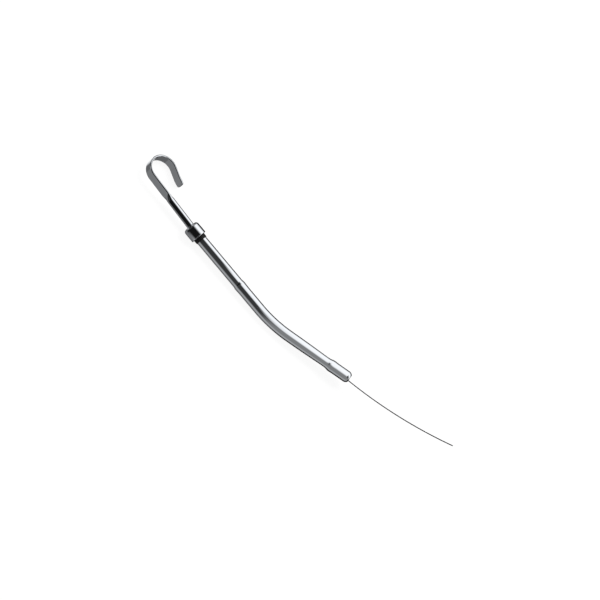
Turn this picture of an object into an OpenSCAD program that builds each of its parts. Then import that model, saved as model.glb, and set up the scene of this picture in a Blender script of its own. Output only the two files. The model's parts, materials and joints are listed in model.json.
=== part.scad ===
// Engine oil dipstick in its guide tube: a chromed tube with a bend, a cap with a rubber seal,
// a finger hook pressed from tube, and a spring-steel blade. Millimetres, +Z up, lying at rest.
// The assembly is laid out flat first: the guide tube's upper leg runs along +X from the cap's rim
// and its bend lies in the XY plane. It is then turned to lie as it comes to rest, with its origin
// in the middle of the land that presses into the engine block.

/* [Guide tube] */
// Outer diameter of the upper leg
tube_od = 13.1; // [12.7:0.1:13.5]
// Wall of the tube, the same all along
tube_wall = 0.9; // [0.7:0.05:1]
// Outer diameter below the step and through the bend
bend_od = 13.7; // [13.4:0.1:14]
// Distance from the cap's rim to the step
step_at = 70.5; // [50:0.5:90]
// Length over which the tube swells at the step
step_length = 4.5; // [2:0.1:7]
// Outer diameter where the tube swells most
step_od = 14.2; // [14:0.1:15]
// Length over which it falls back to the lower diameter
step_fall = 3.5; // [2:0.1:7]
// Distance from the cap's rim to the start of the bend
upper_leg = 110.3; // [105:0.1:115]
// Radius of the bend, on the centreline
bend_radius = 180; // [170:1:190]
// Angle of the bend
bend_angle = 15.05; // [14.6:0.05:15.5]
// Length from the end of the bend to the front of the nose
lower_leg = 87.3; // [84:0.1:91]
// Outer diameter of the neck above the swollen block end
neck_od = 12.4; // [12:0.1:12.9]
// Length of the neck
neck_length = 4.9; // [3:0.1:8]
// Outer diameter at the crest of the block end
crest_od = 14.7; // [14.4:0.1:15.6]
// Length of the flare from the neck to the crest
flare_length = 8; // [5:0.1:10]
// Length of the cone from the crest to the land
crest_length = 4.5; // [3:0.1:7]
// Outer diameter of the land that presses into the block
land_od = 14.2; // [13.9:0.1:14.4]
// Length of the land
land_length = 16; // [10:0.5:20]
// Radius of the rounded nose
nose_radius = 5.8; // [5.4:0.1:6.2]
// Diameter of the mouth that the blade leaves by
mouth_d = 8.8; // [8.6:0.1:9.2]

/* [Cap] */
// Outer diameter of the cap
cap_od = 19.8; // [18.6:0.1:21]
// Height of the cap
cap_height = 16.5; // [16.2:0.1:19]
// Wall of the cap
cap_wall = 0.8; // [0.5:0.05:1]
// Outer radius of the cap's shoulder
cap_shoulder = 4; // [2:0.1:4.6]

/* [Cap seal] */
// Length of the guide tube's end inside the seal
seal_engagement = 16.7; // [14:0.1:16.8]
// How far the seal's lip shows below the cap's rim
seal_lip = 5.2; // [4.6:0.1:6]
// Outer diameter of the lip at the rim
seal_lip_od = 15.1; // [14.8:0.1:16]
// How far the lip tapers in at its end, on the radius
seal_lip_taper = 0.3; // [0.1:0.05:0.4]
// Step from the rim in to the seal's broad part
seal_recess = 0.6; // [0.2:0.1:1.5]
// Thickness of the steel washer under the seal
washer_t = 0.6; // [0.4:0.1:0.8]
// Outer diameter of the washer
washer_od = 10.8; // [9.6:0.1:11]

/* [Handle] */
// Outer diameter of the handle's tube
handle_od = 9; // [8.8:0.1:9.3]
// Wall of the handle's tube
handle_wall = 0.9; // [0.7:0.05:1]
// How far below the rim the stem's axis crosses the guide tube's axis
lean_point = 0; // [-2:0.5:2]
// Angle by which the stem leans in its seal
stem_lean = 2.46; // [2:0.02:2.8]
// Length of stem below the crossing, inside the guide tube
stem_below = 18; // [16:0.5:20]
// Length of round stem above the crossing
stem_above = 53; // [40:0.5:75]
// Length over which the round tube is pressed flat
press_length = 12; // [8:0.5:20]
// Thickness of the pressed strip
strip_t = 2.4; // [2.1:0.05:2.7]
// How far the strip lies behind the stem's axis, away from the hook
strip_back = 0.5; // [0:0.1:1.5]
// Length of straight strip below the hook
strip_length = 24.3; // [15:0.1:35]
// Radius of the hook, on the strip's middle
hook_radius = 17; // [14:0.5:20]
// Angle that the hook turns through
hook_turn = 200.5; // [190:0.5:205]
// Straight length after the hook
hook_leg = 13.4; // [8:0.2:18]
// Angle by which the lip is bent out
lip_angle = 8.5; // [4:0.5:20]
// Radius of the lip's bend
lip_bend = 12; // [6:0.5:20]
// Length of the lip after its bend
lip_length = 8; // [6:0.2:14]
// Radius of the lip's corners
lip_corner = 3.2; // [2:0.1:5]
// Angle from the guide tube's bend plane to the hook's plane
hook_swing = 40; // [0:1:90]

/* [Blade] */
// Thickness of the blade
blade_t = 1.2; // [1:0.05:1.3]
// Width of the blade
blade_w = 4.8; // [4:0.1:5]
// Width of the root inside the stem
root_w = 5.9; // [5.2:0.1:6]
// Length of the root inside the stem
root_length = 14; // [10:0.5:20]
// Length of straight blade below the stem
blade_upper = 59.2; // [58:0.1:60]
// Radius of the blade's curve through the guide tube's bend
blade_curve = 280.5; // [278:0.5:283]
// Heading of the blade, from the upper leg, after that curve
blade_heading = 16.1; // [15.95:0.05:16.3]
// Length of straight blade after that curve
blade_middle = 10; // [8:0.5:12]
// Radius of the blade's slight curve back inside the lower leg
back_curve = 828.7; // [800:1:860]
// Length of that curve back
back_length = 70; // [66:0.5:74]
// Radius of the free blade below the guide tube
free_curve = 590; // [450:1:900]
// Length of the free blade below the curve back
free_length = 142.6; // [120:0.1:170]
// Length of the straight tip
tip_length = 4; // [3:0.2:8]
// Distance from the tip to the lower level mark
low_mark = 14; // [10:0.5:30]
// Distance from the lower level mark to the upper one
mark_gap = 22; // [10:0.5:40]
// Width of a level mark's groove
mark_w = 0.8; // [0.4:0.1:1.5]
// Depth of a level mark's groove
mark_depth = 0.25; // [0.1:0.05:0.35]

/* [Blade rivet] */
// Diameter of the rivet's shank
rivet_d = 2.5; // [2:0.1:3]
// Diameter of the rivet's heads
rivet_head_d = 4; // [3.4:0.1:4.4]
// Height of a head over the stem
rivet_head = 0.3; // [0.2:0.05:0.35]

/* [Fits] */
// Clearance on the radius between pieces that are pressed together
press_fit = 0.03; // [0.01:0.01:0.08]
// Clearance on the radius between the seal and the guide tube it slides on
seal_fit = 0.09; // [0.06:0.01:0.1]
// Gap between the guide tube's end and the washer
seat_gap = 0.3; // [0.2:0.05:0.5]

/* [Rest] */
// Turn about the upper leg's axis, as the part lies on a floor
rest_roll = 26.84; // [20:0.02:32]
// Dip of the upper leg as the part lies
rest_pitch = 1.51; // [0:0.01:4]

/* [Hidden] */
$fn = 96;
lap = 0.2;         // how far a curve runs into the straight metal beside it
thinning = 0.01;   // how much thinner than the straights the metal is in a curve, on each side
arc_steps = 8;     // steps of a small rounding in a turned outline
ring_points = 32;  // points round the pressed transition
ring_steps = 8;    // rings along the pressed transition
spare = 1;         // how far a cutter runs past what it cuts

// Poses along a route in the XY plane: place and heading, as [x, y, angle]
function ahead(pose, run) =
    [pose.x + run * cos(pose.z), pose.y + run * sin(pose.z), pose.z];
// A curve to the left has a radius and an angle above 0, one to the right has both below 0
function turned(pose, radius, angle) =
    [pose.x + radius * (sin(pose.z + angle) - sin(pose.z)),
     pose.y - radius * (cos(pose.z + angle) - cos(pose.z)),
     pose.z + angle];
function arc_angle(run, radius) = run / radius * 180 / PI;
// Points of a small arc, and an easing from 0 to 1 that starts and ends flat
function arc(centre, radius, from, to) =
    [for (i = [0 : arc_steps]) let (a = from + (to - from) * i / arc_steps)
        centre + radius * [cos(a), sin(a)]];
function ease(t) = (1 - cos(180 * t)) / 2;
function backwards(list) = [for (i = [len(list) - 1 : -1 : 0]) list[i]];

// Guide tube
tube_top = seal_lip - seal_engagement;
bend_start = [upper_leg, 0, 0];
bend_end = turned(bend_start, bend_radius, bend_angle);
nose_centre = land_od / 2 - nose_radius;
nose_height = nose_radius * sin(acos((mouth_d / 2 - nose_centre) / nose_radius));
land_end = lower_leg - nose_height;
land_start = land_end - land_length;
crest_at = land_start - crest_length;
flare_at = crest_at - flare_length;
neck_at = flare_at - neck_length;
land_middle = ahead(bend_end, land_start + land_length / 2);

// Cap and seal
cap_inner = cap_od / 2 - cap_wall;
cap_roof = cap_wall - cap_height;
washer_at = tube_top - seat_gap - washer_t;
seal_bore = tube_od / 2 + seal_fit;
seal_outer = cap_inner - press_fit;

// Handle
handle_bore = handle_od / 2 - handle_wall;
strip_w = strip_t + PI * (handle_od - strip_t) / 2;   // as far round as the tube was
flat_start = [strip_back, stem_above + press_length, 90];
hook_start = ahead(flat_start, strip_length);
hook_end = turned(hook_start, hook_radius, hook_turn);
lip_start = ahead(hook_end, hook_leg);
lip_end = turned(lip_start, -lip_bend, -lip_angle);
hook_crown = [hook_start.x - hook_radius, hook_start.y + hook_radius + strip_t / 2];

// Blade
stem_end = ahead([lean_point, 0, -stem_lean], stem_below);
curve_start = ahead(stem_end, blade_upper);
curve_end = turned(curve_start, blade_curve, blade_heading + stem_lean);
back_start = ahead(curve_end, blade_middle);
free_start = turned(back_start, -back_curve, -arc_angle(back_length, back_curve));
free_turn = arc_angle(free_length - tip_length, free_curve);
tip_start = turned(free_start, free_curve, free_turn);
blade_tip = ahead(tip_start, tip_length);

// The line from the hook's crown to the blade's tip lies along +X once the part is at rest
crown_side = cos(hook_swing) * -hook_crown.x;
crown_height = sin(hook_swing) * hook_crown.x;
crown = [lean_point - hook_crown.y * cos(stem_lean) + crown_side * sin(stem_lean),
         hook_crown.y * sin(stem_lean) + crown_side * cos(stem_lean),
         crown_height];
reach = [blade_tip.x, blade_tip.y, 0] - crown;
reach_side = reach.y * cos(rest_roll) - reach.z * sin(rest_roll);
reach_rise = reach.y * sin(rest_roll) + reach.z * cos(rest_roll);
reach_ahead = reach.x * cos(rest_pitch) + reach_rise * sin(rest_pitch);
rest_yaw = -atan2(reach_side, reach_ahead);

module placed()
    rotate([rest_roll, rest_pitch, rest_yaw])
        translate([-land_middle.x, -land_middle.y, 0]) children();

module at(pose) translate([pose.x, pose.y, 0]) rotate([0, 0, pose.z]) children();

// A flat section carried straight on or round a curve from a pose
module straight(pose, run)
    at(pose) rotate([90, 0, 90]) linear_extrude(run) children();
module curved(pose, radius, angle)
    at(turned(pose, radius, -arc_angle(lap, radius))) mirror([0, radius < 0 ? 1 : 0, 0])
        translate([0, abs(radius), 0]) rotate([0, 0, -90])
            rotate_extrude(angle = abs(angle) + arc_angle(2 * lap, abs(radius)))
                translate([abs(radius), 0]) children();

// An outline of [radius, place] points turned about the axis ahead of a pose
module lathe(pose, outline)
    at(pose) rotate([0, 90, 0]) rotate_extrude() polygon(outline);

// The stem's own frame: +Z up the stem, +Y to the hook's side, +X across the strip
module on_stem()
    translate([lean_point, 0, 0]) rotate([0, 0, -stem_lean])
        rotate([0, -90, 0]) rotate([0, 0, hook_swing]) children();
// The hook's plane: a route runs up the stem at 90 degrees, and turns left into the hook
module in_hook_plane() on_stem() rotate([90, 0, -90]) children();

module stem_hole() on_stem() cylinder(h = stem_above, r = handle_od / 2 + press_fit);

// One tube: a step, a bend, a long taper to the neck, and a swollen end with a rounded nose
module guide_tube() {
    crest_place = step_at + step_length;
    swelling = concat(
        [for (i = [0 : arc_steps]) let (t = i / arc_steps)
            [(tube_od + (step_od - tube_od) * ease(t)) / 2, step_at + step_length * t]],
        [for (i = [1 : arc_steps]) let (t = i / arc_steps)
            [(step_od + (bend_od - step_od) * ease(t)) / 2, crest_place + step_fall * t]]
    );
    upper = [
        [tube_od / 2, tube_top],
        each swelling,
        [bend_od / 2, upper_leg]
    ];
    taper = [for (i = [0 : arc_steps]) let (t = i / arc_steps)
        [(bend_od - (bend_od - neck_od) * t * t) / 2, neck_at * t]];
    flare = [for (i = [0 : arc_steps]) let (t = i / arc_steps)
        [(neck_od + (crest_od - neck_od) * ease(t)) / 2, flare_at + flare_length * t]];
    lower = concat(taper, flare, [[land_od / 2, land_start]]);
    nose = [nose_centre, land_end];
    inner_nose = nose_radius - tube_wall;
    outside = arc(nose, nose_radius, 0, acos((mouth_d / 2 - nose_centre) / nose_radius));
    inside = arc(nose, inner_nose, acos((mouth_d / 2 - nose_centre) / inner_nose), 0);

    color("silver") {
        lathe([0, 0, 0], wall_of(upper));
        curved(bend_start, bend_radius, bend_angle) difference() {
            circle(d = bend_od - 2 * thinning);
            circle(d = bend_od - 2 * tube_wall + 2 * thinning);
        }
        lathe(bend_end, concat(lower, outside, inside, backwards(inset(lower))));
    }
}
function inset(outline) = [for (p = outline) [p.x - tube_wall, p.y]];
function wall_of(outline) = concat(outline, backwards(inset(outline)));

// A drawn cup, with a rounded shoulder, a rounded rim and a hole that fits the leaning stem
module cap() {
    shoulder = [cap_od / 2 - cap_shoulder, cap_shoulder - cap_height];
    rim = [cap_od / 2 - cap_wall / 2, -cap_wall / 2];
    outline = concat(
        [[0, -cap_height]],
        arc(shoulder, cap_shoulder, -90, 0),
        arc(rim, cap_wall / 2, 0, 180),
        arc(shoulder, cap_shoulder - cap_wall, 0, -90),
        [[0, cap_roof]]
    );
    color("gainsboro") difference() {
        lathe([0, 0, 0], outline);
        stem_hole();
    }
}

// A rubber boot: it fills the cap, grips the stem, and slides over the end of the guide tube
module cap_seal() {
    shoulder = [cap_od / 2 - cap_shoulder, cap_shoulder - cap_height];
    lip_round = (seal_lip_od / 2 - seal_lip_taper - seal_bore) / 2;
    lip = [seal_bore + lip_round, seal_lip - lip_round];
    outline = concat(
        [[0, cap_roof + press_fit]],
        arc(shoulder, cap_shoulder - cap_wall - press_fit, -90, 0),
        [[seal_outer, -seal_recess], [seal_lip_od / 2, -seal_recess]],
        arc(lip, lip_round, 0, 180),
        [[seal_bore, washer_at], [0, washer_at]]
    );
    color("dimgray") difference() {
        lathe([0, 0, 0], outline);
        stem_hole();
    }
}

// A thin washer pushed on to the stem, which keeps the seal from being pulled off
module seal_washer() {
    stem_aside = (lean_point - washer_at) * tan(stem_lean);
    color("darkgray") difference() {
        translate([washer_at, stem_aside, 0]) rotate([0, 90, 0])
            cylinder(h = washer_t, d = washer_od);
        stem_hole();
    }
}

// Section of the pressed strip, thickness along X and width along Y
module strip_section(inset = 0) {
    square([strip_t - 2 * inset, strip_w - strip_t], center = true);
    for (side = [-1, 1])
        translate([0, side * (strip_w - strip_t) / 2]) circle(d = strip_t - 2 * inset);
}

// One ring of the transition: its ends shrink from the tube's radius to the strip's as they part
function press_ring(t, height) =
    let (
        e = ease(t),
        end_r = handle_od / 2 + (strip_t - handle_od) / 2 * e - thinning,
        apart = (strip_w - strip_t) / 2 * e
    )
    [for (i = [0 : ring_points - 1]) let (a = 360 * (i + 0.5) / ring_points)
        [sign(cos(a)) * apart + end_r * cos(a), end_r * sin(a) - strip_back * e, height]];

// The round tube where it is pressed flat
module pressed_transition() {
    top = stem_above + press_length;
    rings = concat(
        press_ring(0, stem_above - lap),
        [for (k = [0 : ring_steps]) let (t = k / ring_steps)
            each press_ring(t, stem_above + press_length * t)],
        press_ring(1, top + lap)
    );
    last = ring_steps + 2;
    sides = [for (k = [0 : last - 1], i = [0 : ring_points - 1])
        let (
            next = (i + 1) % ring_points,
            a = k * ring_points + i,
            b = k * ring_points + next,
            c = b + ring_points,
            d = a + ring_points
        )
        each [[a, d, c], [a, c, b]]];
    foot = [for (i = [0 : ring_points - 1]) i];
    head = [for (i = [ring_points - 1 : -1 : 0]) last * ring_points + i];
    polyhedron(rings, concat(sides, [foot, head]));
}

// One tube: round in the seal, pressed flat above it, and bent into a hook with a turned-out lip
module handle() {
    bore_end = stem_above + press_length * 0.6;
    color("silver") difference() {
        union() {
            on_stem() translate([0, 0, -stem_below])
                cylinder(h = stem_below + stem_above, d = handle_od);
            on_stem() pressed_transition();
            in_hook_plane() {
                straight(flat_start, strip_length) strip_section();
                curved(hook_start, hook_radius, hook_turn) strip_section(thinning);
                straight(hook_end, hook_leg) strip_section();
                curved(lip_start, -lip_bend, -lip_angle) strip_section(thinning);
                intersection() {
                    straight(lip_end, lip_length) strip_section();
                    at(lip_end) rotate([90, 0, 0])
                        linear_extrude(strip_t + spare, center = true) lip_outline();
                }
            }
        }
        on_stem() translate([0, 0, -stem_below - spare])
            cylinder(h = stem_below + spare + stem_above, r = handle_bore);
        on_stem() translate([0, 0, stem_above])
            cylinder(h = bore_end - stem_above, r1 = handle_bore, r2 = handle_bore / 6);
        rivet_hole();
    }
}
module lip_outline() {
    translate([-spare, -strip_w / 2]) square([lip_length - lip_corner + spare, strip_w]);
    translate([0, lip_corner - strip_w / 2]) square([lip_length, strip_w - 2 * lip_corner]);
    for (side = [-1, 1])
        translate([lip_length - lip_corner, side * (strip_w / 2 - lip_corner)]) circle(r = lip_corner);
}

module on_rivet() at(ahead(stem_end, -root_length / 2)) rotate([90, 0, 0]) children();
module rivet_hole() on_rivet() cylinder(h = 2 * handle_od, d = rivet_d + 2 * press_fit, center = true);

// A strip of spring steel, set to follow the guide tube's bend, with two level marks and a round tip
module blade() {
    root_start = ahead(stem_end, -root_length);
    route = concat(
        [root_start, stem_end],
        curve_poses(curve_start, blade_curve, blade_heading + stem_lean),
        curve_poses(back_start, -back_curve, -arc_angle(back_length, back_curve)),
        curve_poses(free_start, free_curve, free_turn),
        [blade_tip]
    );
    color("slategray") difference() {
        union() {
            linear_extrude(blade_w, center = true) strip_along(route);
            linear_extrude(root_w, center = true) strip_along([root_start, stem_end]);
        }
        rivet_hole();
        tip_corners();
        for (place = [low_mark, low_mark + mark_gap]) level_mark(place);
    }
}
// Poses along a curve, about a degree apart
function curve_poses(pose, radius, angle) =
    let (steps = ceil(abs(angle)))
    [for (i = [0 : steps]) turned(pose, radius, angle * i / steps)];
// A pose moved to the left of its heading
function aside(pose, side) = [pose.x - side * sin(pose.z), pose.y + side * cos(pose.z)];
module strip_along(route)
    polygon(concat(
        [for (pose = route) aside(pose, blade_t / 2)],
        backwards([for (pose = route) aside(pose, -blade_t / 2)])
    ));
module tip_corners()
    at(ahead(blade_tip, -blade_w / 2)) rotate([90, 0, 0])
        linear_extrude(2 * blade_t, center = true) difference() {
            translate([0, -blade_w / 2 - spare]) square([blade_w / 2 + spare, blade_w + 2 * spare]);
            circle(d = blade_w);
        }
module level_mark(place)
    at(turned(tip_start, free_curve, -arc_angle(place - tip_length, free_curve)))
        translate([0, blade_t / 2, 0])
            cube([mark_w, 2 * mark_depth, blade_w + 2 * spare], center = true);

// A rivet across the stem, with low heads that follow the tube
module blade_rivet() {
    head_reach = handle_od + 2 * rivet_head;
    color("gray") on_rivet() {
        cylinder(h = handle_od, d = rivet_d, center = true);
        difference() {
            cylinder(h = head_reach, d = rivet_head_d, center = true);
            rotate([0, 90, 0]) cylinder(h = rivet_head_d + spare, d = handle_od + 2 * press_fit, center = true);
        }
    }
}

placed() guide_tube();
placed() cap();
placed() cap_seal();
placed() seal_washer();
placed() handle();
placed() blade();
placed() blade_rivet();
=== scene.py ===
# Engine oil dipstick in its guide tube: chrome, rubber and spring steel on a white table.
# Lengths in the dictionaries are millimetres and angles are degrees; the scene is in metres.
import json
import math

import bmesh
import bpy
from mathutils import Matrix, Vector


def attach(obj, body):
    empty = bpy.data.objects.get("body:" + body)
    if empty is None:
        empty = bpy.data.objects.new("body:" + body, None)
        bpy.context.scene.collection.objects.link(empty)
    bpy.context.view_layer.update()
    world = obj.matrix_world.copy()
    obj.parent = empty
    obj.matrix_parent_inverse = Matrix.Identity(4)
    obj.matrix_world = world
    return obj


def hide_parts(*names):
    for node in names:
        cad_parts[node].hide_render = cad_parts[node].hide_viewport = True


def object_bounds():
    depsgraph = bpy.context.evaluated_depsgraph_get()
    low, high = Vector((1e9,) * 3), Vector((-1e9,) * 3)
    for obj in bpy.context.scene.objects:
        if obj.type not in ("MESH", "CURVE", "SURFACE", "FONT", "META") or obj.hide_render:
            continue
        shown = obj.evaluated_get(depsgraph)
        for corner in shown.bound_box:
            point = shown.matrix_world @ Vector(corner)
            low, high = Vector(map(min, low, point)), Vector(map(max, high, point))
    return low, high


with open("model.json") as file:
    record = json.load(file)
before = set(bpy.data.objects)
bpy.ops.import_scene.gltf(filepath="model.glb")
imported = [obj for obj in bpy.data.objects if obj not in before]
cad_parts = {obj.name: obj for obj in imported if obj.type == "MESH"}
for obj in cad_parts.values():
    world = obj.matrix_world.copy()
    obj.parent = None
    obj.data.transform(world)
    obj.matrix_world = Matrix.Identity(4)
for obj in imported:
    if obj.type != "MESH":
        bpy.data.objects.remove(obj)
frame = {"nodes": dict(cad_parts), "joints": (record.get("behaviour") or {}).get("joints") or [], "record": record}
cadBox = [list(corner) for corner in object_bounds()]
print("frame loaded:", len(frame["nodes"]), "nodes")

mm = 0.001


# Poses along a route: x, y and the heading in radians

def ahead(pose, run):
    x, y, h = pose
    return (x + run * math.cos(h), y + run * math.sin(h), h)


def turned(pose, radius, angle):   # left with both above 0, right with both below
    x, y, h = pose
    return (x + radius * (math.sin(h + angle) - math.sin(h)),
            y - radius * (math.cos(h + angle) - math.cos(h)), h + angle)


# Guide tube's line, from the cap's rim to the block end. It sets the drawing that every part
# is placed in.

guideTube = {
    "od": 13.1, "wall": 0.9, "bendOd": 13.7,
    "stepAt": 70.5, "stepLength": 4.5, "stepOd": 14.2, "stepFall": 9.0,   # the swelling
    "upperLeg": 110.3, "bendRadius": 180.0, "bendAngle": 15.05, "lowerLeg": 87.3,
    "neckOd": 12.4, "neckLength": 4.9, "crestOd": 14.7, "flareLength": 8.0, "crestLength": 4.5,
    "landOd": 14.2, "landLength": 16.0, "noseRadius": 5.8, "mouth": 8.8,
    "insideSeal": 16.7,               # of its top, inside the cap seal
    "edgeRound": 0.12, "edgeTurns": (0.5, 1.0),   # at the top, with its points in radians
    "lipTurn": 2.5,                   # degrees of the nose that the mouth's edge takes
    "lipEdge": ((0.02, 0.10), (0.04, 0.03), (0.14, 0.0)),   # back from the front, and out
    "around": 128, "ringStep": 1.0, "fineStep": 1 / 3,      # points round, and mm along
    "stepMargin": 0.5, "flareMargin": 1.0,        # of fine rings beyond the changes of section
    "noseSteps": 18, "innerSteps": 8,
}
g = guideTube
bendLength = g["bendRadius"] * math.radians(g["bendAngle"])
lowerStart = g["upperLeg"] + bendLength
bendStart = (g["upperLeg"], 0.0, 0.0)
bendEnd = turned(bendStart, g["bendRadius"], math.radians(g["bendAngle"]))
noseCentre = g["landOd"] / 2 - g["noseRadius"]
noseAngle = math.acos((g["mouth"] / 2 - noseCentre) / g["noseRadius"])
landEnd = g["lowerLeg"] - g["noseRadius"] * math.sin(noseAngle)
landStart = landEnd - g["landLength"]
landMiddle = ahead(bendEnd, landStart + g["landLength"] / 2)

# The record gives the two legs of the guide tube: the pull runs up the upper one, and the
# block end's mount lies on the lower one. They set the plane of the drawing.
pull = Vector(frame["joints"][0]["axis"]).normalized()
blockEnd = next(m for m in frame["record"]["mounts"] if m["name"] == "block_end")
alongUpper = -pull
toCamera = alongUpper.cross(Vector(blockEnd["axis"])).normalized()
insideBend = toCamera.cross(alongUpper)
turnMatrix = Matrix((alongUpper, insideBend, toCamera)).transposed()
toLand = turnMatrix @ Vector((landMiddle[0], landMiddle[1], 0)) * mm
drawingOrigin = Vector(blockEnd["pos_m"]) - toLand


def place(point):   # drawing millimetres to the frame's metres
    return drawingOrigin + turnMatrix @ Vector(point) * mm


# Mesh helpers

weldGap = 1e-7     # m
sharpAngle = 32    # degrees, above which an edge stays crisp


def eased(t):
    return (1 - math.cos(math.pi * min(max(t, 0.0), 1.0))) / 2


def steps(start, end, size):
    count = max(1, math.ceil(abs(end - start) / size))
    return [start + (end - start) * i / count for i in range(count + 1)]


def arcPoints(centre, radius, start, end, count):
    return [(centre[0] + radius * math.cos(math.radians(start + (end - start) * i / count)),
             centre[1] + radius * math.sin(math.radians(start + (end - start) * i / count)))
            for i in range(count + 1)]


def skin(name, rings, flat, hollow):
    # A mesh over rings of points. A hollow piece's last ring runs on into its first, and a
    # solid piece's end rings are filled. flat holds the points on the straight, unbent piece.
    mesh = bpy.data.meshes.new(name)
    size, count = len(rings[0]), len(rings)
    verts = [place(p) for ring in rings for p in ring]
    faces = []
    for k in range(count if hollow else count - 1):
        a, b = k * size, (k + 1) % count * size
        for i in range(size):
            j = (i + 1) % size
            faces.append((a + i, a + j, b + j, b + i))
    if not hollow:
        faces += [tuple(range(size)), tuple((count - 1) * size + i for i in range(size))]
    mesh.from_pydata(verts, [], faces)
    unbent = mesh.attributes.new("unbent", "FLOAT_VECTOR", "POINT")
    unbent.data.foreach_set("vector", [c * mm for ring in flat for p in ring for c in p])
    bm = bmesh.new()
    bm.from_mesh(mesh)
    bmesh.ops.remove_doubles(bm, verts=bm.verts, dist=weldGap)
    bmesh.ops.recalc_face_normals(bm, faces=bm.faces)
    bm.to_mesh(mesh)
    bm.free()
    mesh.shade_smooth()
    mesh.set_sharp_from_angle(angle=math.radians(sharpAngle))
    piece = bpy.data.objects.new(name, mesh)
    bpy.context.scene.collection.objects.link(piece)
    return piece


def alongAxis(s):   # the straight route down the cap's axis
    return (s, 0.0, 0.0)


def revolve(name, profile, around, route=alongAxis):
    # turns a profile of (place, radius, how far aside) points about a route
    angles = [2 * math.pi * i / around for i in range(around)]
    rings, flat = [], []
    for s, r, aside in profile:
        x, y, h = route(s)
        rings.append([(x - math.sin(h) * (aside + r * math.cos(a)),
                       y + math.cos(h) * (aside + r * math.cos(a)), r * math.sin(a))
                      for a in angles])
        flat.append([(s, r * math.cos(a), r * math.sin(a)) for a in angles])
    return skin(name, rings, flat, hollow=True)


def dress(piece, body, slot, material, *nodes):
    piece.data.materials.append(material)
    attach(piece, body)
    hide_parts(*nodes)


# Materials

def linear(hexColour):   # sRGB hex to linear
    parts = [int(hexColour[i:i + 2], 16) / 255 for i in (1, 3, 5)]
    return [c / 12.92 if c <= 0.04045 else ((c + 0.055) / 1.055) ** 2.4 for c in parts] + [1.0]


def addNode(tree, kind, settings=None, values=None, links=None):
    # one node with its settings, its socket values and the sockets that feed it
    node = tree.nodes.new(kind)
    for key, value in (settings or {}).items():
        setattr(node, key, value)
    for socket, value in (values or {}).items():
        node.inputs[socket].default_value = value
    for socket, source in (links or {}).items():
        tree.links.new(source, node.inputs[socket])
    return node


def perMm(size):   # noise scale for features of this many millimetres
    return 1.0 / (size * mm)


def newMaterial(name, base, metallic, roughness):
    material = bpy.data.materials.new(name)
    material.use_nodes = True
    tree = material.node_tree
    shader = tree.nodes["Principled BSDF"]
    shader.inputs["Base Color"].default_value = linear(base)
    shader.inputs["Metallic"].default_value = metallic
    shader.inputs["Roughness"].default_value = roughness
    return material, tree, shader


chrome = {
    "colour": "#D3D6DA",
    "roughness": (0.035, 0.10),   # polished, and where fingers have dulled it
    "smudge": 9.0,                # mm, size of the dulled patches
    "smudgeRange": (0.42, 0.72),  # of the noise, from polished to dulled
    "ripple": 5.0,                # mm, waviness left in the steel under the plate
    "rippleDepth": 0.010,
    "drawLine": 0.35,             # mm, lines left by drawing the tube, coarser than real to show
    "drawDepth": 0.0015,
}


def chromedSteel(name, lengthwise, rippled=1.0):
    # Bright nickel-chrome over drawn steel: mirror bright, cool grey, with a faint waviness
    # that breaks the edges of reflections, and draw lines that only show in a highlight.
    c = chrome
    material, tree, shader = newMaterial(name, c["colour"], 1.0, c["roughness"][0])
    unbent = addNode(tree, "ShaderNodeAttribute", {"attribute_name": "unbent"}).outputs["Vector"]
    smudge = addNode(tree, "ShaderNodeTexNoise", {},
                     {"Scale": perMm(c["smudge"]), "Detail": 4.0}, {"Vector": unbent})
    dull = addNode(tree, "ShaderNodeMapRange", {},
                   {"From Min": c["smudgeRange"][0], "From Max": c["smudgeRange"][1],
                    "To Min": c["roughness"][0], "To Max": c["roughness"][1]},
                   {"Value": smudge.outputs["Fac"]})
    tree.links.new(dull.outputs["Result"], shader.inputs["Roughness"])
    stretched = addNode(tree, "ShaderNodeMapping", {}, {"Scale": (1 / lengthwise, 1.0, 1.0)},
                        {"Vector": unbent})
    ripple = addNode(tree, "ShaderNodeTexNoise", {},
                     {"Scale": perMm(c["ripple"]), "Detail": 1.0},
                     {"Vector": stretched.outputs["Vector"]})
    wave = addNode(tree, "ShaderNodeBump", {},
                   {"Strength": 1.0, "Distance": c["rippleDepth"] * rippled * mm},
                   {"Height": ripple.outputs["Fac"]})
    drawn = addNode(tree, "ShaderNodeTexNoise", {},
                    {"Scale": perMm(c["drawLine"]), "Detail": 2.0},
                    {"Vector": stretched.outputs["Vector"]})
    lines = addNode(tree, "ShaderNodeBump", {},
                    {"Strength": 1.0, "Distance": c["drawDepth"] * mm},
                    {"Height": drawn.outputs["Fac"], "Normal": wave.outputs["Normal"]})
    tree.links.new(lines.outputs["Normal"], shader.inputs["Normal"])
    return material


rubber = {
    "colour": "#0A0A0B", "bloom": "#121213", "bloomPatch": 3.0,
    "roughness": (0.52, 0.68), "specular": 0.35,
    "grain": 0.25, "grainDepth": 0.012, "grainStrength": 0.6,
}


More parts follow.
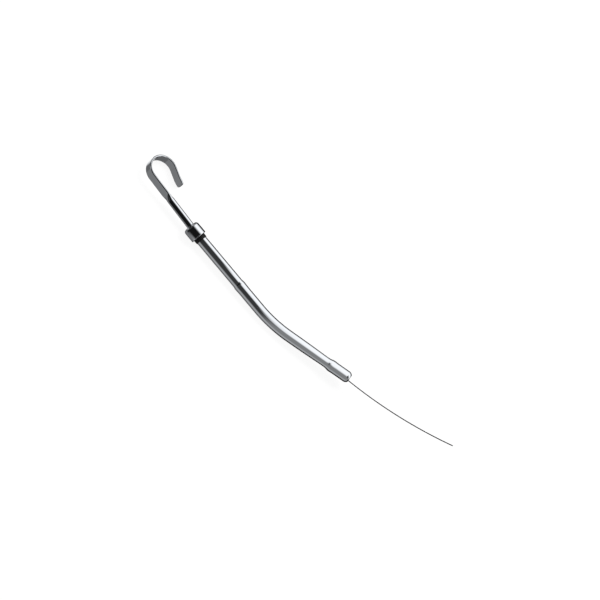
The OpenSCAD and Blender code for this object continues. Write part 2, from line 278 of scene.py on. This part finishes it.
def nitrileRubber(name):
    # Moulded black nitrile: deep black with a grey bloom in patches and a fine satin grain,
    # so it reads as soft and dull beside the chrome.
    r = rubber
    material, tree, shader = newMaterial(name, r["colour"], 0.0, r["roughness"][0])
    shader.inputs["Specular IOR Level"].default_value = r["specular"]
    unbent = addNode(tree, "ShaderNodeAttribute", {"attribute_name": "unbent"}).outputs["Vector"]
    patch = addNode(tree, "ShaderNodeTexNoise", {},
                    {"Scale": perMm(r["bloomPatch"]), "Detail": 3.0}, {"Vector": unbent})
    tone = addNode(tree, "ShaderNodeMix", {"data_type": "RGBA"},   # 6 and 7 are its colours
                   {6: linear(r["colour"]), 7: linear(r["bloom"])},
                   {"Factor": patch.outputs["Fac"]})
    tree.links.new(tone.outputs[2], shader.inputs["Base Color"])
    dull = addNode(tree, "ShaderNodeMapRange", {},
                   {"To Min": r["roughness"][0], "To Max": r["roughness"][1]},
                   {"Value": patch.outputs["Fac"]})
    tree.links.new(dull.outputs["Result"], shader.inputs["Roughness"])
    grain = addNode(tree, "ShaderNodeTexNoise", {},
                    {"Scale": perMm(r["grain"]), "Detail": 3.0}, {"Vector": unbent})
    bump = addNode(tree, "ShaderNodeBump", {},
                   {"Strength": r["grainStrength"], "Distance": r["grainDepth"] * mm},
                   {"Height": grain.outputs["Fac"]})
    tree.links.new(bump.outputs["Normal"], shader.inputs["Normal"])
    return material


steel = {
    "colour": "#626466", "oiled": "#48494B", "oilPatch": 12.0,   # the blade's
    "plain": "#9A9B9C", "plainDark": "#85868A",                  # the washer's and the rivet's
    "roughness": (0.18, 0.34),
    "rollLine": 0.2, "rollDepth": 0.004, "rollStrength": 0.8,
}


def rolledSteel(name, colour, dark, lengthwise):
    # Cold-rolled steel, bare: mid grey, with rolling lines along the strip that stretch its
    # highlights, and slightly darker patches where oil has dried on it.
    s = steel
    material, tree, shader = newMaterial(name, colour, 1.0, s["roughness"][0])
    unbent = addNode(tree, "ShaderNodeAttribute", {"attribute_name": "unbent"}).outputs["Vector"]
    stretched = addNode(tree, "ShaderNodeMapping", {}, {"Scale": (1 / lengthwise, 1.0, 1.0)},
                        {"Vector": unbent})
    rolled = addNode(tree, "ShaderNodeTexNoise", {},
                     {"Scale": perMm(s["rollLine"]), "Detail": 3.0},
                     {"Vector": stretched.outputs["Vector"]})
    patch = addNode(tree, "ShaderNodeTexNoise", {},
                    {"Scale": perMm(s["oilPatch"]), "Detail": 4.0}, {"Vector": unbent})
    tone = addNode(tree, "ShaderNodeMix", {"data_type": "RGBA"},   # 6 and 7 are its colours
                   {6: linear(colour), 7: linear(dark)}, {"Factor": patch.outputs["Fac"]})
    tree.links.new(tone.outputs[2], shader.inputs["Base Color"])
    dull = addNode(tree, "ShaderNodeMapRange", {},
                   {"To Min": s["roughness"][0], "To Max": s["roughness"][1]},
                   {"Value": rolled.outputs["Fac"]})
    tree.links.new(dull.outputs["Result"], shader.inputs["Roughness"])
    bump = addNode(tree, "ShaderNodeBump", {},
                   {"Strength": s["rollStrength"], "Distance": s["rollDepth"] * mm},
                   {"Height": rolled.outputs["Fac"]})
    tree.links.new(bump.outputs["Normal"], shader.inputs["Normal"])
    return material


# lengthwise is how many times longer than wide the marks of the making are
tubeChrome = chromedSteel("chromed_drawn_tube", lengthwise=14.0)
cupChrome = chromedSteel("chromed_drawn_cup", lengthwise=1.0)
handleChrome = chromedSteel("chromed_pressed_tube", lengthwise=2.0, rippled=3.0)
sealRubber = nitrileRubber("nitrile_rubber")
bladeSteel = rolledSteel("spring_steel", steel["colour"], steel["oiled"], lengthwise=60.0)
plainSteel = rolledSteel("plain_steel", steel["plain"], steel["plainDark"], lengthwise=1.0)
print("materials made")


# Guide tube: drawn steel tube, swelled, bent, necked and spun to a rounded nose

def tubeRoute(s):   # pose on the centreline, s mm from the cap's rim
    if s <= g["upperLeg"]:
        return (s, 0.0, 0.0)
    if s <= lowerStart:
        return turned(bendStart, g["bendRadius"], (s - g["upperLeg"]) / g["bendRadius"])
    return ahead(bendEnd, s - g["upperLeg"] - bendLength)


def makeGuideTube():
    crestAt = landStart - g["crestLength"]
    flareAt = crestAt - g["flareLength"]
    neckAt = flareAt - g["neckLength"]

    def outerRadius(s):
        t = s - lowerStart
        if t < 0:
            rise = eased((s - g["stepAt"]) / g["stepLength"])
            fall = eased((s - g["stepAt"] - g["stepLength"]) / g["stepFall"])
            return (g["od"] + (g["stepOd"] - g["od"]) * rise
                    + (g["bendOd"] - g["stepOd"]) * fall) / 2
        if t < neckAt:
            return (g["bendOd"] - (g["bendOd"] - g["neckOd"]) * (t / neckAt) ** 2) / 2
        if t < crestAt:
            rise = eased((t - flareAt) / g["flareLength"])
            return (g["neckOd"] + (g["crestOd"] - g["neckOd"]) * rise) / 2
        fall = min((t - crestAt) / g["crestLength"], 1.0)
        return (g["crestOd"] - (g["crestOd"] - g["landOd"]) * fall) / 2

    top = rubberBoot["lip"] - g["insideSeal"]
    stepStart = g["stepAt"] - g["stepMargin"]
    stepEnd = g["stepAt"] + g["stepLength"] + g["stepFall"] + g["stepMargin"]
    flareStart = lowerStart + flareAt - g["flareMargin"]
    coarse, fine = g["ringStep"], g["fineStep"]
    places = (steps(top + g["edgeRound"], stepStart, coarse)
              + steps(stepStart, stepEnd, fine)[1:]
              + steps(stepEnd, flareStart, coarse)[1:]
              + steps(flareStart, lowerStart + landStart, fine)[1:]
              + steps(lowerStart + landStart, lowerStart + landEnd, coarse)[1:])
    outside = [(s, outerRadius(s)) for s in places]
    inside = [(s, r - g["wall"]) for s, r in outside]
    e, half = g["edgeRound"], g["od"] / 2
    topEdge = [(top, half - g["wall"] + e), (top, half - e)]
    topEdge += [(top + e - e * math.cos(a), half - e + e * math.sin(a)) for a in g["edgeTurns"]]
    noseInner = g["noseRadius"] - g["wall"]
    innerAngle = math.degrees(math.acos((g["mouth"] / 2 - noseCentre) / noseInner))
    outerArc = arcPoints((noseCentre, landEnd), g["noseRadius"],
                         0, math.degrees(noseAngle) - g["lipTurn"], g["noseSteps"])[1:]
    innerArc = arcPoints((noseCentre, landEnd), noseInner, innerAngle, 0, g["innerSteps"])[:-1]
    noseOut = [(lowerStart + s, r) for r, s in outerArc]
    noseIn = [(lowerStart + s, r) for r, s in innerArc]
    front = lowerStart + g["lowerLeg"]
    lip = [(front - back, g["mouth"] / 2 + out) for back, out in g["lipEdge"]]
    profile = topEdge + outside + noseOut + lip + noseIn + inside[::-1]
    tube = revolve("guideTubeShell", [(s, r, 0.0) for s, r in profile], g["around"], tubeRoute)
    dress(tube, "guide", "tube_chrome", tubeChrome, "guide_tube")


# Cap: a deep-drawn cup with a hole for the leaning stem

capCup = {
    "od": 19.8, "height": 16.5, "wall": 0.8, "shoulder": 4.0,
    "holeRound": 0.25, "holeBow": 0.3,   # at the hole, with its middle point's share of it
    "around": 160, "arcSteps": 14, "rimSteps": 8, "outerStep": 1.0, "innerStep": 2.0,
}


def stemAside(s):   # how far the leaning stem is off the cap's axis
    return (hookHandle["leanPoint"] - s) * math.tan(math.radians(hookHandle["lean"]))


def makeCap():
    c = capCup
    r, shoulder, wall, e = c["od"] / 2, c["shoulder"], c["wall"], c["holeRound"]
    hole = hookHandle["od"] / 2 + rubberBoot["pressFit"]
    roof = -c["height"]
    centre = (-c["height"] + shoulder, r - shoulder)
    outer = arcPoints(centre, shoulder, 180, 90, c["arcSteps"])
    inner = arcPoints(centre, shoulder - wall, 90, 180, c["arcSteps"])
    rim = arcPoints((-wall / 2, r - wall / 2), wall / 2, 90, -90, c["rimSteps"])
    outerSide = [(s, r) for s in steps(centre[0], -wall / 2, c["outerStep"])[1:-1]]
    innerSide = [(s, r - wall) for s in steps(-wall / 2, centre[0], c["innerStep"])[1:-1]]
    bow = e * c["holeBow"]
    holeEdge = [(roof + wall, hole), (roof + e, hole), (roof + bow, hole + bow),
                (roof, hole + e)]
    profile = [(s, rr, stemAside(s)) for s, rr in holeEdge]
    profile += [(s, rr, 0.0) for s, rr in outer + outerSide + rim + innerSide + inner]
    cap = revolve("capCup", profile, c["around"])
    dress(cap, "dipstick", "cap_chrome", cupChrome, "cap")


# Cap seal: the rubber boot, of which only the lip shows

rubberBoot = {
    "lip": 5.2, "lipOd": 15.1, "taper": 0.3, "recess": 0.6,
    "fit": 0.09, "pressFit": 0.03,    # clearance on the tube, and in the cup and on the stem
    "washer": 0.6, "seatGap": 0.3,
    "seamAt": 0.55, "seamHalf": 0.12, "flash": 0.06,   # the mould's parting line round the lip
    "taperAtSeam": (0.5, 0.55),       # shares of the taper before the seam, and after it
    "around": 128, "arcSteps": 10,
}


def makeSeal():
    b, c = rubberBoot, capCup
    bore = g["od"] / 2 + b["fit"]
    broad = c["od"] / 2 - c["wall"] - b["pressFit"]
    lipRadius = b["lipOd"] / 2
    hole = hookHandle["od"] / 2 + b["pressFit"]
    tubeTop = b["lip"] - g["insideSeal"]
    webUnder = tubeTop - b["seatGap"] - b["washer"]
    roof = c["wall"] - c["height"] + b["pressFit"]
    centre = (-c["height"] + c["shoulder"], c["od"] / 2 - c["shoulder"])
    shoulder = arcPoints(centre, c["shoulder"] - c["wall"] - b["pressFit"], 180, 90,
                         b["arcSteps"])
    tipRound = (lipRadius - b["taper"] - bore) / 2
    tip = arcPoints((b["lip"] - tipRound, bore + tipRound), tipRound, 90, -90, b["arcSteps"])
    seam = b["seamAt"] * b["lip"]
    before, after = [lipRadius - b["taper"] * share for share in b["taperAtSeam"]]
    lipSide = [(-b["recess"], lipRadius), (seam - b["seamHalf"], before),
               (seam, before + b["flash"]), (seam + b["seamHalf"], after)]
    profile = [(s, hole, stemAside(s)) for s in (webUnder, roof)]
    profile += [(s, r, 0.0) for s, r in
                shoulder + [(-b["recess"], broad)] + lipSide + tip + [(webUnder, bore)]]
    seal = revolve("sealBoot", profile, b["around"])
    dress(seal, "dipstick", "seal_rubber", sealRubber, "cap_seal")


# Handle: round tube, pressed flat, bent into a hook

hookHandle = {
    "od": 9.0, "wall": 0.9, "leanPoint": 0.0, "lean": 2.46, "below": 18.0, "above": 53.0,
    "boreTop": 6.0, "press": 12.0, "strip": 2.4, "back": 0.5, "straight": 24.3,
    "hookRadius": 17.0, "turn": 200.5, "leg": 13.4, "lipAngle": 8.5, "lipBend": 12.0,
    "lipLength": 8.0, "corner": 3.2, "swing": 40.0,
    "tipThin": 0.86,                  # thickness of the last ring, as a share of the strip's
    "edgePoints": 16, "facePoints": 18, "cornerSteps": 14, "edgeNear": 0.001,
    "stemStep": 2.0, "pressStep": 0.4, "stripStep": 1.5, "lipStep": 1.0,   # mm between rings
    "hookTurnStep": 1.6, "lipTurnStep": 1.0,                               # degrees
}


def makeHandle():
    h = hookHandle
    lean, swing = math.radians(h["lean"]), math.radians(h["swing"])
    up = Vector((-math.cos(lean), math.sin(lean), 0))
    side = Vector((math.sin(lean), math.cos(lean), 0))
    toHook = math.cos(swing) * side - math.sin(swing) * Vector((0, 0, 1))
    across = math.sin(swing) * side + math.cos(swing) * Vector((0, 0, 1))
    foot = Vector((h["leanPoint"], 0, 0))
    wide = h["strip"] + math.pi * (h["od"] - h["strip"]) / 2   # the girth stays when pressed
    apart, endRadius = (wide - h["strip"]) / 2, h["strip"] / 2

    # the hook's plane: first number away from the hook, second up the stem
    flatStart = (h["back"], h["above"] + h["press"], math.pi / 2)
    hookStart = ahead(flatStart, h["straight"])
    turn = math.radians(h["turn"])
    hookEnd = turned(hookStart, h["hookRadius"], turn)
    lipStart = ahead(hookEnd, h["leg"])
    lipTurn = math.radians(h["lipAngle"])
    lipEnd = turned(lipStart, -h["lipBend"], -lipTurn)

    def outline(morph):
        # the section: a circle at morph 0, a flat strip with round edges at 1
        points = []
        faceLength, edgeLength = 2 * apart, math.pi * endRadius
        total = 2 * (faceLength + edgeLength)
        spots = [edgeLength * i / h["edgePoints"] for i in range(h["edgePoints"])]
        spots += [edgeLength + faceLength * i / h["facePoints"] for i in range(h["facePoints"])]
        spots += [p + total / 2 for p in spots]
        for u in spots:
            half, v = (1, u) if u < total / 2 else (-1, u - total / 2)
            if v < edgeLength:
                a = -math.pi / 2 + v / endRadius
                p = (apart + endRadius * math.cos(a), endRadius * math.sin(a))
            else:
                p = (apart - (v - edgeLength), endRadius)
            a = 2 * math.pi * (u - edgeLength / 2) / total
            circle = (h["od"] / 2 * math.cos(a), h["od"] / 2 * math.sin(a))
            points.append((circle[0] * (1 - morph) + half * p[0] * morph,
                           circle[1] * (1 - morph) + half * p[1] * morph))
        return points

    rings, flat = [], []

    def addRing(pose, section, along):
        # a section across the route at a pose; section is (across, outwards)
        x, y, a = pose
        normal = (math.sin(a), -math.cos(a))   # right of the route, the hook's outer side
        rings.append([tuple(foot + up * (y + normal[1] * out) - toHook * (x + normal[0] * out)
                            + across * w) for w, out in section])
        flat.append([(along, w, out) for w, out in section])

    tube, strip = outline(0.0), outline(1.0)
    inner = 1 - 2 * h["wall"] / h["od"]
    bore = [(w * inner, out * inner) for w, out in tube]
    # the blind bore at the lower end, then up the outside
    for y in (h["boreTop"], -h["below"]):
        addRing((0.0, y, math.pi / 2), bore, y)
    for y in steps(-h["below"], h["above"], h["stemStep"]):
        addRing((0.0, y, math.pi / 2), tube, y)
    for y in steps(0.0, h["press"], h["pressStep"])[1:]:
        e = eased(y / h["press"])
        addRing((h["back"] * e, h["above"] + y, math.pi / 2), outline(e), h["above"] + y)
    for run in steps(0.0, h["straight"], h["stripStep"])[1:]:
        pose = ahead(flatStart, run)
        addRing(pose, strip, pose[1])
    along = hookStart[1]
    for t in steps(0.0, turn, math.radians(h["hookTurnStep"]))[1:]:
        addRing(turned(hookStart, h["hookRadius"], t), strip, along + t * h["hookRadius"])
    along += turn * h["hookRadius"]
    for run in steps(0.0, h["leg"], h["stripStep"])[1:]:
        addRing(ahead(hookEnd, run), strip, along + run)
    along += h["leg"]
    for t in steps(0.0, lipTurn, math.radians(h["lipTurnStep"]))[1:]:
        addRing(turned(lipStart, -h["lipBend"], -t), strip, along + t * h["lipBend"])
    along += lipTurn * h["lipBend"]
    for run in steps(0.0, h["lipLength"] - h["corner"], h["lipStep"])[1:]:
        addRing(ahead(lipEnd, run), strip, along + run)
    last = h["cornerSteps"]
    for i in range(1, last + 1):   # the corners, and the end's own small rounding
        quarter = i / last * math.pi / 2
        run = h["lipLength"] - h["corner"] + h["corner"] * math.sin(quarter)
        narrower = h["corner"] * (1 - math.cos(quarter))
        thin = 1.0 if i < last else h["tipThin"]
        section = []
        for w, out in strip:   # the round edges move in whole, and the faces shrink
            if abs(w) > apart - h["edgeNear"]:
                w = math.copysign(max(abs(w) - narrower, 0.0), w)
            else:
                w = w * (apart - narrower) / apart
            section.append((w, out * thin))
        addRing(ahead(lipEnd, run), section, along + run)
    handle = skin("hookHandle", rings, flat, hollow=False)
    dress(handle, "dipstick", "handle_chrome", handleChrome, "handle")


# Blade: spring-steel strip with two level marks near its round tip

springBlade = {
    "thick": 1.2, "wide": 4.8, "rootWide": 5.9, "root": 14.0, "upper": 59.2, "curve": 280.5,
    "heading": 16.1, "middle": 10.0, "backCurve": 828.7, "backLength": 70.0,
    "freeCurve": 590.0, "freeLength": 142.6, "tip": 4.0,
    "lowMark": 14.0, "markGap": 22.0, "markWide": 0.8, "markDeep": 0.25, "markSlope": 0.1,
    "edgeRound": 0.1, "edgeTurns": (0, 30, 60, 90),
    "leastHalf": 0.02, "leastFlat": 0.1,   # half the width at the tip's end, and share kept flat
    "tipTurn": 88, "tipSteps": 16, "tipThin": 0.08,
    "rootStep": 3.0, "rootGap": 0.02, "ringStep": 1.5,
}


def makeBlade():
    b, h = springBlade, hookHandle
    lean = math.radians(h["lean"])
    stemEnd = ahead((h["leanPoint"], 0.0, -lean), h["below"])
    rootStart = ahead(stemEnd, -b["root"])
    curveStart = ahead(stemEnd, b["upper"])
    curveTurn = math.radians(b["heading"]) + lean
    curveEnd = turned(curveStart, b["curve"], curveTurn)
    backStart = ahead(curveEnd, b["middle"])
    backTurn = b["backLength"] / b["backCurve"]
    freeStart = turned(backStart, -b["backCurve"], -backTurn)
    freeRun = b["freeLength"] - b["tip"]
    tipStart = turned(freeStart, b["freeCurve"], freeRun / b["freeCurve"])

    legs = [
        (b["root"], lambda d: ahead(rootStart, d)),
        (b["upper"], lambda d: ahead(stemEnd, d)),
        (b["curve"] * curveTurn, lambda d: turned(curveStart, b["curve"], d / b["curve"])),
        (b["middle"], lambda d: ahead(curveEnd, d)),
        (b["backLength"], lambda d: turned(backStart, -b["backCurve"], -d / b["backCurve"])),
        (freeRun, lambda d: turned(freeStart, b["freeCurve"], d / b["freeCurve"])),
        (b["tip"], lambda d: ahead(tipStart, d)),
    ]
    total = sum(length for length, _ in legs)

    def pose(d):
        for length, where in legs[:-1]:
            if d <= length:
                return where(d)
            d -= length
        return legs[-1][1](d)

    rings, flat = [], []
    half = b["thick"] / 2
    edgeTurns = [math.radians(q) for q in b["edgeTurns"]]

    def addRing(d, wide, groove=0.0, thin=0.0):
        # a section with rounded edges; a groove lowers the face inside the bend
        x, y, a = pose(d)
        w = max(wide / 2, b["leastHalf"])
        e = min(b["edgeRound"], w * (1 - b["leastFlat"]))
        face, back = half - groove - thin, half - thin
        upper = [(w - e * (1 - math.cos(q)), face - e + e * math.sin(q)) for q in edgeTurns]
        lower = [(w - e * (1 - math.cos(q)), -back + e - e * math.sin(q))
                 for q in edgeTurns[::-1]]
        section = lower + upper
        section += [(-p, q) for p, q in section[::-1]]
        rings.append([(x - math.sin(a) * q, y + math.cos(a) * q, p) for p, q in section])
        flat.append([(d, q, p) for p, q in section])

    for d in steps(0.0, b["root"], b["rootStep"]):
        addRing(d, b["rootWide"])
    marks = [total - b["lowMark"], total - b["lowMark"] - b["markGap"]]
    slope = b["markSlope"] / 2
    edges = [m + side * b["markWide"] / 2 + edge
             for m in marks for side in (-1, 1) for edge in (-slope, slope)]
    places = steps(b["root"] + b["rootGap"], total - b["wide"] / 2, b["ringStep"])
    for d in sorted(places + edges):
        marked = any(abs(d - m) < b["markWide"] / 2 for m in marks)
        addRing(d, b["wide"], b["markDeep"] if marked else 0.0)
    for i in range(1, b["tipSteps"] + 1):   # the round tip, thinned towards its end
        share = i / b["tipSteps"]
        a = share * math.radians(b["tipTurn"])
        addRing(total - b["wide"] / 2 * (1 - math.sin(a)), b["wide"] * math.cos(a),
                thin=b["tipThin"] * share ** 4)
    blade = skin("springBlade", rings, flat, hollow=False)
    dress(blade, "dipstick", "blade_steel", bladeSteel, "blade")


makeGuideTube()
print("guide tube made")
makeCap()
print("cap made")
makeSeal()
print("seal made")
makeHandle()
print("handle made")
makeBlade()
print("blade made")

# the washer and the rivet keep their solids and get bare steel
for name in ("seal_washer", "blade_rivet"):
    for materialSlot in frame["nodes"][name].material_slots:
        materialSlot.link = "OBJECT"
        materialSlot.material = plainSteel
print("inner steel dressed")


# Studio

studio = {
    "white": "#FFFFFF", "tableGlow": 0.86, "tableShade": "#8E8E8E", "tableLit": "#F2F2F2",
    "floorSize": 6.0,             # m
    "ambient": 0.30,
    "cameraBack": 3.4,            # m
    "sensor": 36.0, "clipEnd": 50.0,
    "photoWidth": 705.0,          # mm across the photograph's 600 pixels
    "photoCentre": (133.0, 43.5),  # drawing point at the photograph's middle
    "imageRight": (0.6420, 0.7667),  # drawing direction of the photograph's right
}
lowest = cadBox[0][2]


def stageMesh(name, verts, faces):
    mesh = bpy.data.meshes.new(name)
    mesh.from_pydata(verts, [], faces)
    item = bpy.data.objects.new(name, mesh)
    bpy.context.scene.collection.objects.link(item)
    return item


def seenDirectly(tree):   # 1 for rays from the camera, a mirror or glass, and 0 for light
    path = addNode(tree, "ShaderNodeLightPath")
    mirror = addNode(tree, "ShaderNodeMath", {"operation": "MAXIMUM"}, {},
                     {0: path.outputs["Is Camera Ray"], 1: path.outputs["Is Glossy Ray"]})
    glass = addNode(tree, "ShaderNodeMath", {"operation": "MAXIMUM"}, {},
                    {0: mirror.outputs[0], 1: path.outputs["Is Transmission Ray"]})
    return glass.outputs[0]


def makeFloor():
    half = studio["floorSize"] / 2
    corners = [(-half, -half, lowest), (half, -half, lowest), (half, half, lowest),
               (-half, half, lowest)]
    floor = stageMesh("table", corners, [(0, 1, 2, 3)])
    material = bpy.data.materials.new("white_table")
    material.use_nodes = True
    tree = material.node_tree
    tree.nodes.clear()
    # a matt white top that the camera sees as plain white, with the object's soft shadow on it
    matt = addNode(tree, "ShaderNodeBsdfDiffuse", {}, {"Color": linear(studio["tableLit"])})
    glow = addNode(tree, "ShaderNodeEmission", {},
                   {"Color": linear(studio["white"]), "Strength": studio["tableGlow"]})
    shaded = addNode(tree, "ShaderNodeBsdfDiffuse", {}, {"Color": linear(studio["tableShade"])})
    both = addNode(tree, "ShaderNodeAddShader", {}, {},
                   {0: shaded.outputs[0], 1: glow.outputs[0]})
    seen = addNode(tree, "ShaderNodeMixShader", {}, {},
                   {0: seenDirectly(tree), 1: matt.outputs[0], 2: both.outputs[0]})
    addNode(tree, "ShaderNodeOutputMaterial", {}, {}, {"Surface": seen.outputs[0]})
    floor.data.materials.append(material)
    floor.visible_glossy = False   # the chrome shows the tent's painted reflections instead, also below


# The chrome looks into a tent, a cylinder round the object that glows and that only the metal's
# reflections see: it lights nothing, so its strips are painted reflections. They stand for
# softboxes and cards, each a strip of light with soft edges, set along the object for its parts,
# in front of a faint glow painted as a dark room. Degrees run round the object from the camera
# towards the inside of the bend, and mm run along the upper leg from the cap's rim.
# the tent's faint glow between the strips is the painted dark that the metal shows
reflectionTent = {"radius": 0.22, "length": 1.4, "around": 96, "darkReflection": 0.01}   # m
# each strip is a painted reflection: glow that only the metal shows, placed round and along the object
paintedReflections = {   # degrees: middle, wide, soft; mm: start, end, fade; level
    "mainSoftbox": (78, 24, 36, -84, 700, 35, 1.45),
    "frontSoftbox": (56, 30, 24, 60, 270, 30, 1.30),
    "bendSoftbox": (50, 30, 44, 128, 270, 28, 1.40),
    "sideSoftbox": (-80, 10, 38, 5, 700, 40, 0.52),
    "frontFill": (-28, 44, 30, 160, 700, 62, 0.30),
    "tubeFill": (-14, 60, 30, 5, 700, 20, 0.05),
    "hookCard": (-105, 18, 32, -500, -15, 25, 0.26),
    "underCard": (-140, 60, 18, -500, 130, 60, 0.17),
    "crownCard": (180, 4, 26, -320, -75, 50, 1.00),
    "hookSoftbox": (84, 24, 44, -560, -60, 30, 0.42),
    "farSoftbox": (90, 60, 35, -560, -450, 60, 1.20),
    "farSide": (-90, 50, 30, -560, -350, 70, 0.75),
    "farFill": (-14, 60, 30, -560, -110, 30, 0.06),
}


def makeReflectionTent():
    radius, half, around = reflectionTent["radius"], reflectionTent["length"] / 2, reflectionTent["around"]
    verts, faces = [], []
    for i in range(around):
        a = 2 * math.pi * i / around
        verts += [(end, radius * math.sin(a), radius * math.cos(a)) for end in (-half, half)]
        j = (i + 1) % around
        faces.append((2 * i, 2 * i + 1, 2 * j + 1, 2 * j))
    faces += [tuple(range(0, 2 * around, 2)), tuple(range(1, 2 * around, 2))]
    shell = stageMesh("paintedReflectionTent", verts, faces)
    shell.matrix_world = Matrix.Translation(drawingOrigin) @ turnMatrix.to_4x4()
    # seen only in reflections and never sampled as light, so all its glow is painted reflection
    shell.visible_camera = shell.visible_diffuse = shell.visible_shadow = False
    shell.visible_transmission = shell.visible_volume_scatter = False

    # the painted reflections: strips of glow by angle round the object and by place along it
    material = bpy.data.materials.new("painted_reflection_stripes")
    material.use_nodes = True
    material.cycles.emission_sampling = "NONE"
    tree = material.node_tree
    tree.nodes.clear()
    spot = addNode(tree, "ShaderNodeTexCoord")
    parts = addNode(tree, "ShaderNodeSeparateXYZ", {}, {}, {0: spot.outputs["Object"]})
    angle = addNode(tree, "ShaderNodeMath", {"operation": "ARCTAN2"}, {},
                    {0: parts.outputs["Y"], 1: parts.outputs["Z"]})

    def within(source, middle, half, soft, level, wraps=False):
        # the level within half of the middle, and nothing from soft beyond it
        off = addNode(tree, "ShaderNodeMath", {"operation": "SUBTRACT"}, {1: middle},
                      {0: source})
        if wraps:
            off = addNode(tree, "ShaderNodeMath", {"operation": "WRAP"},
                          {1: math.pi, 2: -math.pi}, {0: off.outputs[0]})
        away = addNode(tree, "ShaderNodeMath", {"operation": "ABSOLUTE"}, {},
                       {0: off.outputs[0]})
        return addNode(tree, "ShaderNodeMapRange", {"interpolation_type": "SMOOTHSTEP"},
                       {"From Min": half + soft, "From Max": half, "To Min": 0.0,
                        "To Max": level}, {"Value": away.outputs[0]}).outputs[0]

    light = None
    for middle, wide, soft, start, end, fade, level in paintedReflections.values():
        around = within(angle.outputs[0], math.radians(middle), math.radians(wide / 2),
                        math.radians(soft), level, wraps=True)
        along = within(parts.outputs["X"], (start + end) / 2 * mm, (end - start) / 2 * mm,
                       fade * mm, 1.0)
        strip = addNode(tree, "ShaderNodeMath", {"operation": "MULTIPLY"}, {},
                        {0: around, 1: along})
        brighter = addNode(tree, "ShaderNodeMath", {"operation": "MAXIMUM"},
                           {1: reflectionTent["darkReflection"]}, {0: strip.outputs[0]})
        if light:
            tree.links.new(light, brighter.inputs[1])
        light = brighter.outputs[0]
    glow = addNode(tree, "ShaderNodeEmission", {}, {"Color": linear(studio["white"])},
                   {"Strength": light})
    addNode(tree, "ShaderNodeOutputMaterial", {}, {}, {"Surface": glow.outputs[0]})
    shell.data.materials.append(material)


lamps = {   # place and size in m, power in W
    "softboxBehind": {"where": (0.3, 1.4, 2.0), "size": 1.6, "power": 26.0},
    "softboxFront": {"where": (-0.8, -1.6, 1.5), "size": 1.4, "power": 9.0},
}


def areaLamp(name, where, size, power):
    data = bpy.data.lights.new(name, "AREA")
    data.shape = "DISK"
    data.size = size
    data.energy = power
    lamp = bpy.data.objects.new(name, data)
    lamp.location = where
    lamp.rotation_euler = (-Vector(where)).to_track_quat("-Z", "Y").to_euler()
    lamp.visible_glossy = False   # the metal shows the tent's painted reflections instead of the lamps
    bpy.context.scene.collection.objects.link(lamp)


def makeWorld():
    world = bpy.data.worlds.new("studio")
    bpy.context.scene.world = world
    world.use_nodes = True
    tree = world.node_tree
    tree.nodes.clear()
    strength = addNode(tree, "ShaderNodeMapRange", {},
                       {"To Min": studio["ambient"], "To Max": 1.0},
                       {"Value": seenDirectly(tree)})
    glow = addNode(tree, "ShaderNodeBackground", {}, {"Color": linear(studio["white"])},
                   {"Strength": strength.outputs[0]})
    addNode(tree, "ShaderNodeOutputWorld", {}, {}, {"Surface": glow.outputs[0]})


def makeCamera():
    s = studio
    middle = place((s["photoCentre"][0], s["photoCentre"][1], 0))
    right = (turnMatrix @ Vector((s["imageRight"][0], s["imageRight"][1], 0))).normalized()
    upwards = toCamera.cross(right)
    data = bpy.data.cameras.new("camera")
    data.sensor_width = s["sensor"]
    data.lens = data.sensor_width / 2 / (s["photoWidth"] * mm / 2 / s["cameraBack"])
    data.clip_end = s["clipEnd"]
    camera = bpy.data.objects.new("camera", data)
    camera.matrix_world = (Matrix.Translation(middle + toCamera * s["cameraBack"])
                           @ Matrix((right, upwards, toCamera)).transposed().to_4x4())
    bpy.context.scene.collection.objects.link(camera)
    bpy.context.scene.camera = camera


makeFloor()
makeReflectionTent()
makeWorld()
for name, lamp in lamps.items():
    areaLamp(name, lamp["where"], lamp["size"], lamp["power"])
makeCamera()
bpy.context.scene.view_settings.view_transform = "Standard"
print("studio made")
